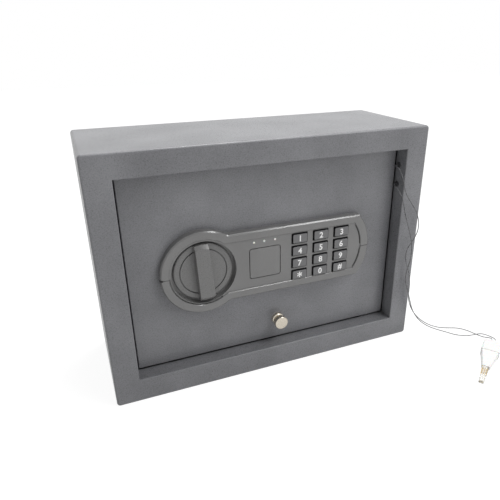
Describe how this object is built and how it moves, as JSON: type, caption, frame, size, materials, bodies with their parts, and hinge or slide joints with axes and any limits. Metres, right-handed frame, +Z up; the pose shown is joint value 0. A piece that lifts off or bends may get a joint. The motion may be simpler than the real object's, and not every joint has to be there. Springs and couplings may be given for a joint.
{
  "type": "security safe",
  "caption": "Slim steel security safe with a hinged door, sliding bolts, an electronic keypad, a turning knob, an emergency key lock and a loose connector lead.",
  "frame": {"origin": "bottom centre of the steel box", "axes": "+Z up, +X to the right seen from the front, +Y to the back; the door faces -Y"},
  "size_m": [0.377, 0.2096, 0.219],
  "materials": {
    "powder_coat": "fine textured satin",
    "zinc": "satin",
    "bright_steel": "polished",
    "silver": "satin",
    "brass": "satin",
    "copper_coil": "wound wire under tape",
    "panel_plastic": "fine satin",
    "knob_plastic": "satin",
    "key_plastic": "satin",
    "lens_plastic": "gloss",
    "black_rubber": "matt",
    "circuit_board": "gloss",
    "black_plastic": "matt",
    "red_plastic": "gloss",
    "cell_jacket": "gloss",
    "felt": "matt felt",
    "lead_jacket": "satin",
    "white_plastic": "satin",
    "clear_plastic": "gloss"
  },
  "bodies": {
    "box": {"body_shell": "powder_coat", "back_panel": "powder_coat", "floor_mat": "felt", "hinge_bracket_upper": "powder_coat", "hinge_bracket_lower": "powder_coat", "hinge_pin_upper": "zinc", "hinge_pin_lower": "zinc", "lead_grommets": "black_rubber", "lead_strand_a": "lead_jacket", "lead_strand_b": "lead_jacket", "lead_connector": "white_plastic", "connector_tip": "clear_plastic"},
    "door": {"door_skin": "powder_coat", "hinge_bush_upper": "brass", "hinge_bush_lower": "brass", "door_inner_cover": "powder_coat", "cover_posts": "zinc", "cover_screws": "zinc", "panel_upper_trim": "panel_plastic", "panel_lower_trim": "panel_plastic", "panel_base": "panel_plastic", "centre_insert": "panel_plastic", "indicator_lenses": "lens_plastic", "keypad_membrane": "black_rubber", "keypad_board": "circuit_board", "panel_screws": "zinc", "guide_studs": "zinc", "battery_box": "black_plastic", "batteries": "cell_jacket", "battery_contacts": "zinc", "control_board": "circuit_board", "solenoid_frame": "zinc", "solenoid_coil": "copper_coil", "lock_housing": "zinc"},
    "knob": {"knob_body": "knob_plastic", "knob_spindle": "zinc", "drive_cam": "zinc", "cam_pin": "zinc"},
    "carriage": {"bolt_carriage": "zinc", "bolt_lower": "bright_steel", "bolt_upper": "bright_steel"},
    "plunger": {"solenoid_plunger": "bright_steel", "plunger_spring": "bright_steel"},
    "core": {"lock_core": "brass", "lock_cam": "zinc"},
    "plug": {"key_lock_plug": "silver"},
    "battery_lid": {"battery_cover": "black_plastic"},
    "reset": {"reset_button": "red_plastic"},
    "key_1": {"key_1": "key_plastic"},
    "key_2": {"key_2": "key_plastic"},
    "key_3": {"key_3": "key_plastic"},
    "key_4": {"key_4": "key_plastic"},
    "key_5": {"key_5": "key_plastic"},
    "key_6": {"key_6": "key_plastic"},
    "key_7": {"key_7": "key_plastic"},
    "key_8": {"key_8": "key_plastic"},
    "key_9": {"key_9": "key_plastic"},
    "key_star": {"key_star": "key_plastic"},
    "key_0": {"key_0": "key_plastic"},
    "key_hash": {"key_hash": "key_plastic"}
  },
  "joints": [
    {"name": "door_hinge", "type": "hinge", "parent": "box", "child": "door", "pos_m": [0.112, -0.03425, 0.11065], "axis": [0, 0, 1], "range_deg": [0, 90]},
    {"name": "knob_turn", "type": "hinge", "parent": "door", "child": "knob", "pos_m": [-0.0638, -0.04, 0.1094], "axis": [0, -1, 0], "range_deg": [0, 90]},
    {"name": "bolt_slide", "type": "slide", "parent": "door", "child": "carriage", "axis": [-1, 0, 0], "range_m": [0, 0.011]},
    {"name": "plunger_lift", "type": "slide", "parent": "door", "child": "plunger", "axis": [0, 0, 1], "range_m": [0, 0.0035], "stiffness_N_per_m": 300, "deforming": ["plunger_spring"]},
    {"name": "lock_core_turn", "type": "hinge", "parent": "door", "child": "core", "pos_m": [0.0064, -0.03, 0.0446], "axis": [0, -1, 0], "range_deg": [0, 90]},
    {"name": "plug_pull", "type": "slide", "parent": "door", "child": "plug", "axis": [0, -1, 0], "range_m": [0, 0.01]},
    {"name": "battery_lid_lift", "type": "slide", "parent": "door", "child": "battery_lid", "axis": [0, 1, 0], "range_m": [0, 0.015]},
    {"name": "reset_press", "type": "slide", "parent": "door", "child": "reset", "axis": [0, -1, 0], "range_m": [0, 0.0006], "stiffness_N_per_m": 300},
    {"name": "key_1_press", "type": "slide", "parent": "door", "child": "key_1", "axis": [0, 1, 0], "range_m": [0, 0.001], "stiffness_N_per_m": 300},
    {"name": "key_2_press", "type": "slide", "parent": "door", "child": "key_2", "axis": [0, 1, 0], "range_m": [0, 0.001], "stiffness_N_per_m": 300},
    {"name": "key_3_press", "type": "slide", "parent": "door", "child": "key_3", "axis": [0, 1, 0], "range_m": [0, 0.001], "stiffness_N_per_m": 300},
    {"name": "key_4_press", "type": "slide", "parent": "door", "child": "key_4", "axis": [0, 1, 0], "range_m": [0, 0.001], "stiffness_N_per_m": 300},
    {"name": "key_5_press", "type": "slide", "parent": "door", "child": "key_5", "axis": [0, 1, 0], "range_m": [0, 0.001], "stiffness_N_per_m": 300},
    {"name": "key_6_press", "type": "slide", "parent": "door", "child": "key_6", "axis": [0, 1, 0], "range_m": [0, 0.001], "stiffness_N_per_m": 300},
    {"name": "key_7_press", "type": "slide", "parent": "door", "child": "key_7", "axis": [0, 1, 0], "range_m": [0, 0.001], "stiffness_N_per_m": 300},
    {"name": "key_8_press", "type": "slide", "parent": "door", "child": "key_8", "axis": [0, 1, 0], "range_m": [0, 0.001], "stiffness_N_per_m": 300},
    {"name": "key_9_press", "type": "slide", "parent": "door", "child": "key_9", "axis": [0, 1, 0], "range_m": [0, 0.001], "stiffness_N_per_m": 300},
    {"name": "key_star_press", "type": "slide", "parent": "door", "child": "key_star", "axis": [0, 1, 0], "range_m": [0, 0.001], "stiffness_N_per_m": 300},
    {"name": "key_0_press", "type": "slide", "parent": "door", "child": "key_0", "axis": [0, 1, 0], "range_m": [0, 0.001], "stiffness_N_per_m": 300},
    {"name": "key_hash_press", "type": "slide", "parent": "door", "child": "key_hash", "axis": [0, 1, 0], "range_m": [0, 0.001], "stiffness_N_per_m": 300}
  ],
  "couplings": [
    {"joint": "knob_turn", "follows": "bolt_slide", "rad_per_m": 142.79}
  ]
}
